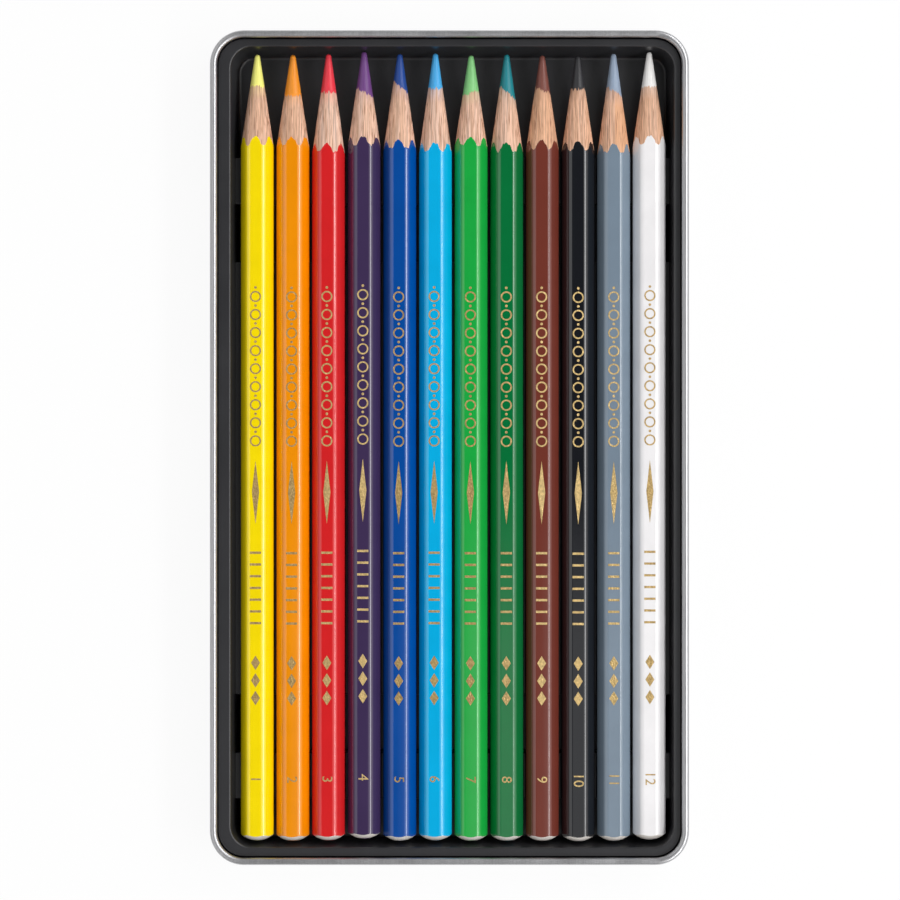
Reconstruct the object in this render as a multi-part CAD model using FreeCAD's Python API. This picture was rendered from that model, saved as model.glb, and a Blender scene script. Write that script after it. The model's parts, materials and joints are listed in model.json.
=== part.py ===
"""Open flat tin of hexagonal watercolour pencils, in millimetres.

The origin is the middle of the tin's underside. +X runs across the row of pencils,
+Y along them towards their points, and +Z is up.
"""
import FreeCAD, Part
import math
import os

from FreeCAD import Vector

# Pencil: a lead glued between two grooved wooden slats, under a coat of lacquer
PENCIL_LENGTH = 175.0
FLATS = 6.8                 # across two opposite lacquered flats
EDGE_R = 1.4                # rounding of the six lacquered edges
LACQUER = 0.12              # thickness of the coat
LEAD_D = 3.2
POINT_HALF_ANGLE = 8.5      # degrees, of the sharpened cone
TIP_R = 0.5                 # rounding of the lead's tip
END_DOME = 1.5              # how far the turned butt end swells past its edge

# Left to right: how far each pencil lies towards its point in its channel, and how many degrees
# it lies rolled there, with its right side up
PENCILS = [
    ("yellow", 0.1, 3.0),
    ("orange", 0.0, 2.0),
    ("red", 0.1, 4.0),
    ("violet", 0.5, 3.5),
    ("dark_blue", 0.0, 2.5),
    ("light_blue", 0.1, 4.5),
    ("light_green", 0.0, 3.0),
    ("dark_green", 0.0, 2.5),
    ("brown", 0.0, 4.5),
    ("black", -0.1, 1.5),
    ("grey", 0.0, 2.5),
    ("white", 0.3, 1.5),
]

# Liner: one formed plastic sheet with a flange, a well and three cradles of channels
LINER_T = 0.5
PENCIL_GAP = 0.52           # between the edges of neighbouring pencils
MARGIN_LEFT = 1.9           # first pencil's edge to the well's mouth
MARGIN_RIGHT = 1.57         # last pencil's edge to the well's mouth
POINT_MARGIN = 1.4          # pencil points to the well's mouth
BUTT_MARGIN = 0.95          # pencil butts to the well's mouth
WELL_CORNER_R = 4.8
WELL_DRAFT = 6.5            # degrees, of the well's walls
MOUTH_R = 0.7               # rounding of the well's mouth
FLOOR_R = 0.8               # rounding at the foot of the well's walls
FLANGE_LEFT = 2.7           # the flange was trimmed a little off centre
FLANGE_RIGHT = 1.35
FLANGE_POINT_END = 1.6
FLANGE_BUTT_END = 1.85
FLANGE_OVER_PENCILS = 0.8   # flange above the pencils' upper flats
CRADLE_LIFT = 1.6           # channel floors above the well's floor
RIDGE_HEIGHT = 1.9          # ridges above the channel floors
CHANNEL_CLEARANCE = 0.3     # channel sides to the pencils' lower flats
SEAT_CLEARANCE = 0.05       # channel floors to the pencils' lowest lines
CRADLE_MIDDLE_Y = -6.85     # the cradles sit a little towards the butts
MIDDLE_CRADLE = 96.7        # length along the pencils
END_CRADLE = 10.45
FINGER_GAP = 12.85          # bare floor between two cradles

# Tin: drawn sheet steel with its rim curled inwards
SHEET = 0.3
CURL_D = 1.6                # the rim's curl, over the outside
CURL_TURN = 280.0           # degrees that the sheet turns
RIM_GAP = 0.2               # flange to curl
RIM_OVER_FLANGE = 1.9
TIN_CORNER_R = 7.5
BASE_R = 2.0                # rounding between the wall and the underside

# Sizes that follow from those above
COS30 = math.cos(math.radians(30))
TAN_DRAFT = math.tan(math.radians(WELL_DRAFT))
TAN60 = math.tan(math.radians(60))
HEX_SIDE = FLATS / 2 / COS30                          # also the sharp corner's radius
EDGE_REACH = HEX_SIDE - EDGE_R * (1 / COS30 - 1)      # axis to the rounded edge
PITCH = 2 * EDGE_REACH + PENCIL_GAP
WELL_WIDTH = (len(PENCILS) - 1) * PITCH + 2 * EDGE_REACH + MARGIN_LEFT + MARGIN_RIGHT
WELL_LENGTH = PENCIL_LENGTH + POINT_MARGIN + BUTT_MARGIN
RIM_INSET = CURL_D + RIM_GAP
TIN_WIDTH = WELL_WIDTH + FLANGE_LEFT + FLANGE_RIGHT + 2 * RIM_INSET
TIN_LENGTH = WELL_LENGTH + FLANGE_POINT_END + FLANGE_BUTT_END + 2 * RIM_INSET
WELL_X = (FLANGE_LEFT - FLANGE_RIGHT) / 2
WELL_Y = (FLANGE_BUTT_END - FLANGE_POINT_END) / 2
ROW_X = WELL_X + (MARGIN_LEFT - MARGIN_RIGHT) / 2     # middle of the row of pencils
BUTT_Y = WELL_Y - WELL_LENGTH / 2 + BUTT_MARGIN       # butts of pencils that haven't slid

FLOOR_TOP = SHEET + LINER_T
CHANNEL_FLOOR = FLOOR_TOP + CRADLE_LIFT
RIDGE_TOP = CHANNEL_FLOOR + RIDGE_HEIGHT
SEAT_Z = CHANNEL_FLOOR + SEAT_CLEARANCE
FLANGE_TOP = SEAT_Z + FLATS + FLANGE_OVER_PENCILS
TIN_HEIGHT = FLANGE_TOP + RIM_OVER_FLANGE
WALL_FOOT = -(FLANGE_TOP - FLOOR_TOP) * TAN_DRAFT     # how far the wall has come in at the floor


def line(start, end):
    return Part.LineSegment(start, end).toShape()


def arc(centre, radius, first_deg, last_deg):
    """Arc in the XZ plane, with angles counted from +X towards +Z."""
    def at(degrees):
        angle = math.radians(degrees)
        return centre + Vector(radius * math.cos(angle), 0, radius * math.sin(angle))
    return Part.Arc(at(first_deg), at((first_deg + last_deg) / 2), at(last_deg)).toShape()


def outline(edges):
    """Joins the ends of open edges with straight lines, closes them and returns the face."""
    joined = []
    for edge, after in zip(edges, edges[1:] + edges[:1]):
        joined.append(edge)
        start, end = edge.lastVertex(True).Point, after.firstVertex(True).Point
        if start.distanceToPoint(end) > 1e-6:
            joined.append(line(start, end))
    return Part.Face(Part.Wire(joined))


def fuse(pieces):
    return pieces[0].multiFuse(pieces[1:]).removeSplitter()


def box(low, high):
    size = high - low
    return Part.makeBox(size.x, size.y, size.z, low)


def rounded_plate(half_x, half_y, corner_r, bottom, top, middle):
    """Upright prism on a rectangle with round corners."""
    block = box(Vector(-half_x, -half_y, bottom), Vector(half_x, half_y, top))
    upright = [e for e in block.Edges if abs(e.tangentAt(e.FirstParameter).z) > 0.5]
    plate = block.makeFillet(corner_r, upright)
    plate.translate(middle)
    return plate


def ring(section, half_x, half_y, corner_r, middle):
    """Carries a section, drawn with x = 0 on the path and x < 0 inside it, round a rounded rectangle."""
    pieces = []
    for turn in range(4):
        reach, run = (half_x, half_y) if turn % 2 == 0 else (half_y, half_x)
        straight = run - corner_r
        side = section.translated(Vector(reach, -straight, 0)).extrude(Vector(0, 2 * straight, 0))
        corner = section.translated(Vector(reach, straight, 0)).revolve(
            Vector(reach - corner_r, straight, 0), Vector(0, 0, 1), 90)
        for piece in (side, corner):
            piece.rotate(Vector(), Vector(0, 0, 1), 90 * turn)
            piece.translate(middle)
            pieces.append(piece)
    return fuse(pieces)


def tin_base():
    """Drawn tray: a flat floor, upright walls and a rim curled inwards."""
    curl_r = CURL_D / 2
    curl = Vector(-curl_r, 0, TIN_HEIGHT - curl_r)
    bend = Vector(-BASE_R, 0, BASE_R)
    lap = BASE_R + SHEET                       # how far the ring reaches over the floor
    section = outline([
        line(Vector(-lap, 0, SHEET), Vector(-lap, 0, 0)),
        arc(bend, BASE_R, -90, 0),
        arc(curl, curl_r, 0, CURL_TURN),
        arc(curl, curl_r - SHEET, CURL_TURN, 0),
        arc(bend, BASE_R - SHEET, 0, -90),
    ])
    wall = ring(section, TIN_WIDTH / 2, TIN_LENGTH / 2, TIN_CORNER_R, Vector())
    floor = rounded_plate(
        TIN_WIDTH / 2 - BASE_R, TIN_LENGTH / 2 - BASE_R, TIN_CORNER_R - BASE_R, 0, SHEET, Vector())
    return fuse([wall, floor])


def well_wall():
    """The well's mouth and drafted walls, down to its floor, as a ring of bent sheet."""
    bend = math.tan(math.radians(90 - WELL_DRAFT) / 2)
    mouth = Vector(MOUTH_R * bend, 0, FLANGE_TOP - MOUTH_R)
    floor = Vector(WALL_FOOT - FLOOR_R * bend, 0, FLOOR_TOP + FLOOR_R)
    lap_out = mouth.x + LINER_T / 2
    lap_in = floor.x - LINER_T / 2
    section = outline([
        line(Vector(lap_out, 0, FLANGE_TOP - LINER_T), Vector(lap_out, 0, FLANGE_TOP)),
        arc(mouth, MOUTH_R, 90, 180 - WELL_DRAFT),
        arc(floor, FLOOR_R, -WELL_DRAFT, -90),
        line(Vector(lap_in, 0, FLOOR_TOP), Vector(lap_in, 0, SHEET)),
        arc(floor, FLOOR_R + LINER_T, -90, -WELL_DRAFT),
        arc(mouth, MOUTH_R - LINER_T, 180 - WELL_DRAFT, 90),
    ])
    return ring(section, WELL_WIDTH / 2, WELL_LENGTH / 2, WELL_CORNER_R, Vector(WELL_X, WELL_Y, 0))


def pencil_x(index):
    return ROW_X + (index - (len(PENCILS) - 1) / 2) * PITCH


def cradle_edges(end_x, height):
    """The cradles' upper outline from wall to wall, raised by height: channels between round ridges."""
    half_floor = HEX_SIDE / 2 + CHANNEL_CLEARANCE / COS30
    slope_run = RIDGE_HEIGHT / TAN60
    crest = (PITCH / 2 - half_floor) * TAN60   # where two channel sides would meet
    ridge_r = crest - RIDGE_HEIGHT
    low, high = CHANNEL_FLOOR + height, RIDGE_TOP + height
    first, last = pencil_x(0) - half_floor, pencil_x(len(PENCILS) - 1) + half_floor
    edges = [line(Vector(WELL_X - end_x, 0, high), Vector(first - slope_run, 0, high))]
    for index in range(len(PENCILS)):
        x = pencil_x(index)
        edges.append(line(Vector(x - half_floor, 0, low), Vector(x + half_floor, 0, low)))
        if index < len(PENCILS) - 1:
            edges.append(arc(Vector(x + PITCH / 2, 0, high - ridge_r), ridge_r, 150, 30))
    edges.append(line(Vector(last + slope_run, 0, high), Vector(WELL_X + end_x, 0, high)))
    return edges


def cradle(start_y, end_y, end_x):
    """A raised stretch of channels, hollow underneath, with an upright step at each end."""
    def reversed_edges(edges):
        return [Part.Edge(e.Curve, e.FirstParameter, e.LastParameter).reversed() for e in reversed(edges)]

    upper = cradle_edges(end_x, 0)
    sheet = outline(upper + reversed_edges(cradle_edges(end_x, -LINER_T)))
    foot_x = end_x - (RIDGE_TOP - SHEET) * TAN_DRAFT
    foot = line(Vector(WELL_X + foot_x, 0, SHEET), Vector(WELL_X - foot_x, 0, SHEET))
    step = outline(upper + [foot])
    return [
        sheet.translated(Vector(0, start_y, 0)).extrude(Vector(0, end_y - start_y, 0)),
        step.translated(Vector(0, start_y, 0)).extrude(Vector(0, LINER_T, 0)),
        step.translated(Vector(0, end_y - LINER_T, 0)).extrude(Vector(0, LINER_T, 0)),
    ]


def cradle_spans():
    """(start, end) of the three cradles along the pencils, from the butts to the points."""
    half = MIDDLE_CRADLE / 2
    outer = half + FINGER_GAP
    return [
        (CRADLE_MIDDLE_Y - outer - END_CRADLE, CRADLE_MIDDLE_Y - outer),
        (CRADLE_MIDDLE_Y - half, CRADLE_MIDDLE_Y + half),
        (CRADLE_MIDDLE_Y + outer, CRADLE_MIDDLE_Y + outer + END_CRADLE),
    ]


def liner_tray():
    """The formed liner: flange, well, floor and cradles in one sheet."""
    middle = Vector(WELL_X, WELL_Y, 0)
    flange = rounded_plate(
        TIN_WIDTH / 2 - RIM_INSET, TIN_LENGTH / 2 - RIM_INSET, TIN_CORNER_R - RIM_INSET,
        FLANGE_TOP - LINER_T, FLANGE_TOP, Vector())
    flange = flange.cut(rounded_plate(
        WELL_WIDTH / 2 + MOUTH_R, WELL_LENGTH / 2 + MOUTH_R, WELL_CORNER_R + MOUTH_R,
        0, TIN_HEIGHT, middle))
    floor_edge = WALL_FOOT - FLOOR_R
    floor = rounded_plate(
        WELL_WIDTH / 2 + floor_edge, WELL_LENGTH / 2 + floor_edge, WELL_CORNER_R + floor_edge,
        SHEET, FLOOR_TOP, middle)
    cradles = []
    # The cradles end inside the walls' sheet
    end_x = WELL_WIDTH / 2 - (FLANGE_TOP - RIDGE_TOP) * TAN_DRAFT + LINER_T / 2
    for start_y, end_y in cradle_spans():
        under = box(
            Vector(-TIN_WIDTH, start_y + LINER_T, 0), Vector(TIN_WIDTH, end_y - LINER_T, TIN_HEIGHT))
        floor = floor.cut(under)
        cradles += cradle(start_y, end_y, end_x)
    return fuse([well_wall(), flange, floor] + cradles)


def hexagon_bar(flats, edge_r):
    """Rounded hexagonal bar along +Y from the origin, with a flat upwards."""
    side = flats / 2 / COS30
    round_middle = side - edge_r / COS30
    edges = []
    for corner in range(6):
        angle = math.radians(60 * corner)
        middle = Vector(round_middle * math.cos(angle), 0, round_middle * math.sin(angle))
        edges.append(arc(middle, edge_r, 60 * corner - 30, 60 * corner + 30))
    return outline(edges).extrude(Vector(0, PENCIL_LENGTH, 0))


def turned_blank():
    """What sharpening and turning leave: a cone with a round tip, and a domed butt at the origin."""
    half_angle = math.radians(POINT_HALF_ANGLE)
    blank_r = HEX_SIDE + LACQUER
    dome_r = (EDGE_REACH ** 2 + END_DOME ** 2) / (2 * END_DOME)

    def tip(angle):
        return Vector(TIP_R * math.cos(angle), PENCIL_LENGTH - TIP_R + TIP_R * math.sin(angle), 0)

    def dome(radius):
        return Vector(radius, dome_r - math.sqrt(dome_r ** 2 - radius ** 2), 0)

    cone_start = tip(half_angle)
    cone_end = cone_start + Vector(
        blank_r - cone_start.x, -(blank_r - cone_start.x) / math.tan(half_angle), 0)
    profile = outline([
        Part.Arc(tip(math.pi / 2), tip((math.pi / 2 + half_angle) / 2), cone_start).toShape(),
        line(cone_end, dome(blank_r)),
        Part.Arc(dome(blank_r), dome(blank_r / 2), dome(0)).toShape(),
    ])
    return profile.revolve(Vector(), Vector(0, 1, 0), 360)


def pencil_pieces():
    """The pieces of one pencil, with its butt at the origin."""
    blank = turned_blank()
    lacquered = hexagon_bar(FLATS, EDGE_R)
    wooden = hexagon_bar(FLATS - 2 * LACQUER, EDGE_R - LACQUER)
    bore = Part.makeCylinder(LEAD_D / 2, PENCIL_LENGTH, Vector(), Vector(0, 1, 0))
    casing = blank.common(wooden).cut(bore)
    upper = box(Vector(-FLATS, 0, 0), Vector(FLATS, PENCIL_LENGTH, FLATS))
    lower = box(Vector(-FLATS, 0, -FLATS), Vector(FLATS, PENCIL_LENGTH, 0))
    return {
        "lead": blank.common(bore),
        "upper_slat": casing.common(upper),
        "lower_slat": casing.common(lower),
        "lacquer": blank.common(lacquered).cut(wooden),
    }


def axis_height(rolled):
    """Height of a pencil's axis over its seat, when it lies rolled by so many degrees."""
    return (HEX_SIDE - EDGE_R / COS30) * math.cos(math.radians(30 - abs(rolled))) + EDGE_R


def main():
    os.makedirs("parts", exist_ok=True)
    tin_base().exportStep("parts/tin_base.step")
    liner_tray().exportStep("parts/liner_tray.step")
    pieces = pencil_pieces()
    for index, (colour, slid, rolled) in enumerate(PENCILS):
        place = Vector(pencil_x(index), BUTT_Y + slid, SEAT_Z + axis_height(rolled))
        for piece, shape in pieces.items():
            lying = shape.rotated(Vector(), Vector(0, 1, 0), -rolled).translated(place)
            lying.exportStep(f"parts/{colour}_{piece}.step")


main()
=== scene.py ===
"""Open tin of sharpened watercolour pencils, modelled and finished in the frame of its CAD pieces.

The origin is the middle of the tin's underside. +X runs across the row of pencils, +Y along them
towards their points, and +Z is up. Pieces are shaped in millimetres and then brought to metres.
"""
import json
import math
from typing import NamedTuple

import bmesh
import bpy
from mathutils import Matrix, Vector

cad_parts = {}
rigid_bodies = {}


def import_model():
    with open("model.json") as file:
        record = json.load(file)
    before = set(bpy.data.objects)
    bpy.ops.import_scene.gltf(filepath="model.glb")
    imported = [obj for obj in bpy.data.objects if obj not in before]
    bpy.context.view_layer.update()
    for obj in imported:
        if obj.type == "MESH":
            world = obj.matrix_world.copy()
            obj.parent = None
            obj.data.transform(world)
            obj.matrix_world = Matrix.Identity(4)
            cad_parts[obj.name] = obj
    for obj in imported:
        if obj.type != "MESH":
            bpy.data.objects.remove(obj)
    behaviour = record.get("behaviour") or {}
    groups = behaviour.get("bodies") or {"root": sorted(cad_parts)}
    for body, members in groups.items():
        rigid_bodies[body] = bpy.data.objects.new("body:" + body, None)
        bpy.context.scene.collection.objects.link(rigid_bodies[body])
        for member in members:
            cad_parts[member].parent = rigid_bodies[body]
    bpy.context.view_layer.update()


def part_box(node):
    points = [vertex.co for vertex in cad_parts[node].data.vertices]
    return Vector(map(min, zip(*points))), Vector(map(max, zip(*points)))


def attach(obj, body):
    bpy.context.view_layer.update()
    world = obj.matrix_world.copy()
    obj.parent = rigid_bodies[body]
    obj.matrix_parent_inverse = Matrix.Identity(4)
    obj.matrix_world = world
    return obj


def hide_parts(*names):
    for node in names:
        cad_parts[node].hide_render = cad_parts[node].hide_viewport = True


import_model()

bl_info = {
    "name": "Pencil set",
    "version": (1, 0, 0),
    "blender": (4, 5, 0),
    "location": "3D View > Sidebar > Pencil set",
    "description": "Models an open tin of sharpened watercolour pencils in its formed liner",
    "category": "Object",
}

MM = 0.001
COS30 = math.cos(math.radians(30))
TAN30 = math.tan(math.radians(30))
OVERRUN = 2.0         # millimetres that a solid runs past the one that it cuts or is cut by
CLOSE = 1e-3          # millimetres: nearer than this, two places are one
HAIR = 1e-4           # millimetres: the same, for the liner's seams and the joint of the slats
BLANK_PAST = 0.2      # millimetres from a bar's sharp corners to the blank's barrel
BLADE_WAVE = 2.2      # millimetres: size of the waves that the sharpener's blade leaves
CHIP_SIZE = 0.5       # millimetres: size of the chips along the coat's cut edge
BLANK_START = 0.014   # radians: keeps the first blank's edges off the flats and the joint of the slats
BLANK_TURN = 2.4      # radians from one pencil's blank to the next, so that no two points look alike
SMOOTH_UNDER = math.radians(30)    # edges that turn less than this are shaded smooth


class Pencil(NamedTuple):
    """How one pencil lies, was sharpened and is stamped, in millimetres and degrees."""
    name: str
    rolled: float        # a positive roll lifts the right side
    half_angle: float    # of the sharpened cone
    tip_past: float      # how much further its tip reaches than the frame's
    lead_r: float
    lead_aside: float    # lead off the pencil's axis, towards +X
    wood_warmth: float   # 0 is pale and pinkish, 1 is brown
    two_tone: float      # how much browner the wood is on the right
    foil_shine: float    # painted brightness of the foil's reflection: 0 is its darkest colour, 1 its brightest


PENCILS = (
    Pencil("yellow", 3.0, 8.7, 0.05, 1.55, 0.0, 0.45, 0.0, 0.45),
    Pencil("orange", 2.0, 8.7, 0.1, 1.87, 0.0, 0.5, 0.0, 0.45),
    Pencil("red", 4.0, 8.0, 0.2, 1.68, 0.0, 0.15, 0.0, 0.65),
    Pencil("violet", 3.5, 8.4, 0.3, 1.8, 0.14, 0.2, 0.0, 0.8),
    Pencil("dark_blue", 3.4, 8.3, 0.3, 1.54, 0.19, 0.35, 0.0, 0.45),
    Pencil("light_blue", 4.5, 8.0, 0.3, 1.58, 0.0, 0.15, 0.0, 0.5),
    Pencil("light_green", 3.0, 8.7, 0.0, 1.77, -0.09, 0.25, 0.0, 0.45),
    Pencil("dark_green", 2.5, 8.1, 0.2, 1.68, 0.22, 0.3, 0.3, 0.6),
    Pencil("brown", 4.5, 8.4, 0.0, 1.62, 0.08, 0.75, 0.0, 0.9),
    Pencil("black", 1.5, 8.3, 0.0, 1.56, 0.0, 0.6, 0.0, 0.8),
    Pencil("grey", 2.5, 7.9, 0.4, 1.65, 0.13, 0.55, 0.8, 0.7),
    Pencil("white", 1.5, 8.5, 0.45, 1.63, 0.0, 0.6, 0.0, 0.55),
)


# Properties

def length(name, description, millimetres):
    return bpy.props.FloatProperty(
        name=name, description=description, default=millimetres * MM, min=0.0, precision=5, unit="LENGTH")


def place(name, description, millimetres):
    return bpy.props.FloatProperty(
        name=name, description=description, default=millimetres * MM, precision=5, unit="LENGTH")


def angle(name, description, degrees):
    return bpy.props.FloatProperty(
        name=name, description=description, default=math.radians(degrees), subtype="ANGLE")


def count(name, description, number):
    return bpy.props.IntProperty(name=name, description=description, default=number, min=0)


def power(name, description, watts):
    return bpy.props.FloatProperty(
        name=name, description=description, default=watts, min=0.0, unit="POWER")


def colour(name, description, red, green, blue):
    """A colour whose default is given as it looks on a screen, from 0 to 255."""
    def linear(channel):
        level = channel / 255
        return level / 12.92 if level <= 0.04045 else ((level + 0.055) / 1.055) ** 2.4

    return bpy.props.FloatVectorProperty(
        name=name, description=description, default=(linear(red), linear(green), linear(blue), 1.0),
        size=4, min=0.0, max=1.0, subtype="COLOR")


class TinSizes(bpy.types.PropertyGroup):
    """Sizes of the drawn tin"""
    sheet: length("Sheet", "Thickness of the tin's sheet", 0.3)
    curl_diameter: length("Curl", "Outer diameter of the rim's curl", 1.6)
    curl_turn: angle("Curl turn", "How far the rim's sheet is turned in", 280)
    corner_radius: length("Corner radius", "Radius of the tin's four corners", 7.5)
    base_radius: length("Base radius", "Rounding between the wall and the underside", 2.0)
    steel: colour("Steel", "Colour of the bare sheet", 196, 196, 198)


class LinerSizes(bpy.types.PropertyGroup):
    """Sizes of the formed liner"""
    sheet: length("Sheet", "Thickness of the liner's sheet", 0.4)
    corner_radius: length("Corner radius", "Radius of the flange's corners", 5.7)
    flange_left: length("Flange left", "Width of the flange beside the first pencil", 2.7)
    flange_right: length("Flange right", "Width of the flange beside the last pencil", 1.35)
    flange_points: length("Flange at points", "Width of the flange past the points", 1.6)
    flange_butts: length("Flange at butts", "Width of the flange past the butts", 1.85)
    well_corner_radius: length("Well corner radius", "Radius of the well's corners at its mouth", 4.8)
    well_draft: angle("Draft", "Lean of the well's walls", 6.5)
    mouth_radius: length("Mouth radius", "Rounding of the well's mouth", 0.45)
    floor_radius: length("Floor radius", "Rounding at the foot of the well's walls", 0.7)
    cradle_lift: length("Cradle lift", "Channel floors above the well's floor", 1.7)
    ridge_height: length("Ridge height", "Ridges above the channel floors", 1.9)
    channel_clearance: length("Channel clearance", "Channel sides to the pencils", 0.3)
    cradle_middle: place("Cradle middle", "Middle of the long cradle along the pencils", -6.85)
    middle_cradle: length("Middle cradle", "Length of the long cradle", 96.7)
    end_cradle: length("End cradle", "Length of each short cradle", 10.45)
    finger_gap: length("Finger gap", "Bare floor between two cradles", 12.85)
    bend_radius: length("Bend radius", "Rounding of the cradles' formed edges", 0.35)
    plastic: colour("Plastic", "Colour of the liner", 38, 38, 41)


class PencilSizes(bpy.types.PropertyGroup):
    """Sizes that all the pencils share"""
    flats: length("Flats", "Width across two lacquered flats", 6.8)
    edge_radius: length("Edge radius", "Rounding of the six edges", 1.4)
    lacquer: length("Lacquer", "Thickness of the coat", 0.05)
    tip_radius: length("Tip radius", "Rounding of the lead's tip", 0.6)
    end_dome: length("End dome", "How far the butt end swells past its edge", 1.5)
    cut_wobble: length("Cut wobble", "Unevenness left by the sharpener's blade", 0.05)
    chipping: length("Chipping", "Unevenness of the coat's cut edge", 0.2)
    pale_wood: colour("Pale wood", "Light parts of the cut wood", 241, 207, 189)
    brown_wood: colour("Brown wood", "Light parts of the cut wood of the browner pencils", 224, 168, 126)
    wood_grain: colour("Wood grain", "Dark lines in the cut wood", 150, 98, 68)
    sanded_end: colour("Sanded end", "Pale end of the wood at the butt", 236, 230, 222)


class LacquerColours(bpy.types.PropertyGroup):
    """Colours of the twelve coats"""
    yellow: colour("Yellow", "Coat of the yellow pencil", 252, 224, 0)
    orange: colour("Orange", "Coat of the orange pencil", 243, 146, 0)
    red: colour("Red", "Coat of the red pencil", 215, 33, 36)
    violet: colour("Violet", "Coat of the violet pencil", 62, 46, 83)
    dark_blue: colour("Dark blue", "Coat of the dark blue pencil", 0, 73, 155)
    light_blue: colour("Light blue", "Coat of the light blue pencil", 0, 175, 229)
    light_green: colour("Light green", "Coat of the light green pencil", 24, 167, 65)
    dark_green: colour("Dark green", "Coat of the dark green pencil", 0, 111, 55)
    brown: colour("Brown", "Coat of the brown pencil", 113, 52, 41)
    black: colour("Black", "Coat of the black pencil", 22, 24, 29)
    grey: colour("Grey", "Coat of the grey pencil", 119, 135, 150)
    white: colour("White", "Coat of the white pencil", 240, 238, 239)


class LeadColours(bpy.types.PropertyGroup):
    """Colours of the twelve leads"""
    yellow: colour("Yellow", "Lead of the yellow pencil", 255, 248, 130)
    orange: colour("Orange", "Lead of the orange pencil", 245, 150, 35)
    red: colour("Red", "Lead of the red pencil", 235, 55, 70)
    violet: colour("Violet", "Lead of the violet pencil", 112, 66, 132)
    dark_blue: colour("Dark blue", "Lead of the dark blue pencil", 30, 72, 150)
    light_blue: colour("Light blue", "Lead of the light blue pencil", 70, 170, 230)
    light_green: colour("Light green", "Lead of the light green pencil", 132, 203, 128)
    dark_green: colour("Dark green", "Lead of the dark green pencil", 25, 130, 140)
    brown: colour("Brown", "Lead of the brown pencil", 122, 70, 60)
    black: colour("Black", "Lead of the black pencil", 47, 47, 50)
    grey: colour("Grey", "Lead of the grey pencil", 146, 162, 183)
    white: colour("White", "Lead of the white pencil", 240, 238, 236)


class StampingSizes(bpy.types.PropertyGroup):
    """Sizes and colours of the stamped marks, with their places counted from the butt"""
    height: length("Height", "How far the foil stands on the coat", 0.02)
    sunk: length("Sunk", "How far the foil is pressed into the coat", 0.01)
    rings: count("Rings", "Number of rings", 9)
    ring_place: length("Ring place", "Middle of the first ring", 89.0)
    ring_pitch: length("Ring pitch", "From ring to ring", 4.0)
    ring_diameter: length("Ring diameter", "Outer diameter of a ring", 2.5)
    ring_stroke: length("Ring stroke", "Width of a ring's line", 0.33)
    dot_diameter: length("Dot diameter", "Diameter of the dots between the rings", 0.6)
    spear_place: length("Spear place", "Middle of the spear", 77.6)
    spear_width: length("Spear width", "Width of the spear", 1.6)
    spear_length: length("Spear length", "Length of the spear along the pencil", 14.0)
    bars: count("Bars", "Number of bars", 7)
    bar_place: length("Bar place", "Middle of the first bar", 48.6)
    bar_pitch: length("Bar pitch", "From bar to bar", 2.6)
    bar_width: length("Bar width", "Width of a bar across the pencil", 2.5)
    bar_stroke: length("Bar stroke", "Thickness of a bar", 0.5)
    lozenges: count("Lozenges", "Number of lozenges", 3)
    lozenge_place: length("Lozenge place", "Middle of the first lozenge", 32.0)
    lozenge_pitch: length("Lozenge pitch", "From lozenge to lozenge", 3.9)
    lozenge_width: length("Lozenge width", "Width of a lozenge", 2.0)
    lozenge_length: length("Lozenge length", "Length of a lozenge along the pencil", 3.2)
    number_place: length("Number place", "Middle of the number", 14.0)
    number_size: length("Number size", "Size of the number's type", 3.2)
    # Two colours of one foil: its painted reflection at its brightest and at its darkest.
    foil: colour("Foil", "Colour of the brightest foil", 240, 208, 142)
    bronze: colour("Bronze", "Colour of the dullest foil", 118, 84, 26)


class StageSizes(bpy.types.PropertyGroup):
    """Places of the floor, the lights and the camera"""
    camera_height: length("Camera height", "Height of the camera over the floor", 611)
    camera_aside: place("Camera aside", "Camera off the tin's middle, across the pencils", 0.11)
    camera_along: place("Camera along", "Camera off the tin's middle, along the pencils", -0.53)
    picture_width: length("Picture width", "Width that the picture shows at the rim's height", 198.6)
    floor_size: length("Floor", "Width of the floor", 12000)
    floor: colour("Floor", "Colour of the floor", 244, 244, 244)
    light_distance: length("Light distance", "Tin's middle to the strip lights", 420)
    light_length: length("Light length", "Length of the strip lights along the pencils", 1000)
    key_elevation: angle("Key elevation", "How high the right strip light stands", 50)
    key_power: power("Key power", "Power of the right strip light", 1.4)
    key_width: length("Key width", "Width of the right strip light", 70)
    fill_elevation: angle("Fill elevation", "How high the left strip light stands", 46)
    fill_power: power("Fill power", "Power of the left strip light", 0.72)
    fill_width: length("Fill width", "Width of the left strip light", 360)


class PencilSet(bpy.types.PropertyGroup):
    """All the settings of the pencil set"""
    tin: bpy.props.PointerProperty(type=TinSizes, name="Tin", description="Sizes of the tin")
    liner: bpy.props.PointerProperty(type=LinerSizes, name="Liner", description="Sizes of the liner")
    pencil: bpy.props.PointerProperty(type=PencilSizes, name="Pencil", description="Sizes of the pencils")
    stamping: bpy.props.PointerProperty(
        type=StampingSizes, name="Stamping", description="Sizes and colours of the stamped marks")
    lacquers: bpy.props.PointerProperty(
        type=LacquerColours, name="Lacquers", description="Colours of the coats")
    leads: bpy.props.PointerProperty(type=LeadColours, name="Leads", description="Colours of the leads")
    stage: bpy.props.PointerProperty(type=StageSizes, name="Stage", description="Floor, lights and camera")


# Modelling tools

def mm(metres):
    return metres / MM


def frame_box(node):
    """Lowest and highest corner of a CAD node, in millimetres."""
    low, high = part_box(node)
    return low / MM, high / MM


def leave_edit():
    bpy.ops.object.mode_set(mode="OBJECT")


def clear_selection():
    if bpy.context.mode != "OBJECT":
        leave_edit()
    bpy.ops.object.select_all(action="DESELECT")


def only(piece):
    clear_selection()
    piece.select_set(True)
    bpy.context.view_layer.objects.active = piece


def edit(piece):
    only(piece)
    bpy.ops.object.mode_set(mode="EDIT")


def select_everything():
    bpy.ops.mesh.select_all(action="SELECT")


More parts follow.
